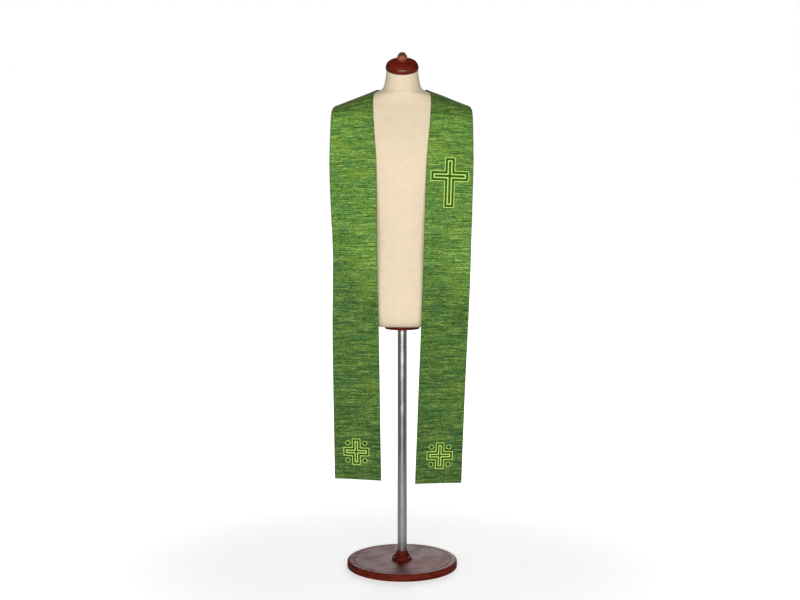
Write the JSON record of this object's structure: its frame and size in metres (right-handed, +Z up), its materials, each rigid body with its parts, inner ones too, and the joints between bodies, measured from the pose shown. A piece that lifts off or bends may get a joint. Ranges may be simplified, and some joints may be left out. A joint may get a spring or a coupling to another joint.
{
  "type": "clerical stole on dress form",
  "caption": "Long clerical stole with a mitred back seam, resting on a limbless dress form with a turned neck cap, a pole and a round base.",
  "frame": {"origin": "on the floor, at the middle of the base's flat underside, under the pole", "axes": "+Z up; the form faces -Y; +X is on the right of someone who stands in front of it"},
  "size_m": [0.4782, 0.38, 1.7532],
  "materials": {
    "green_cloth": "matt slub weave in mixed greens",
    "cream_jersey": "matt fine knit",
    "dark_red_wood": "glossy lacquer",
    "steel": "satin"
  },
  "bodies": {
    "root": {"stole_band_right": "green_cloth", "stole_band_left": "green_cloth", "form_body": "cream_jersey", "neck_cap": "dark_red_wood", "cap_finial": "dark_red_wood", "form_flange": "dark_red_wood", "pole": "steel", "base_collar": "dark_red_wood", "base_plate": "dark_red_wood"}
  },
  "joints": []
}
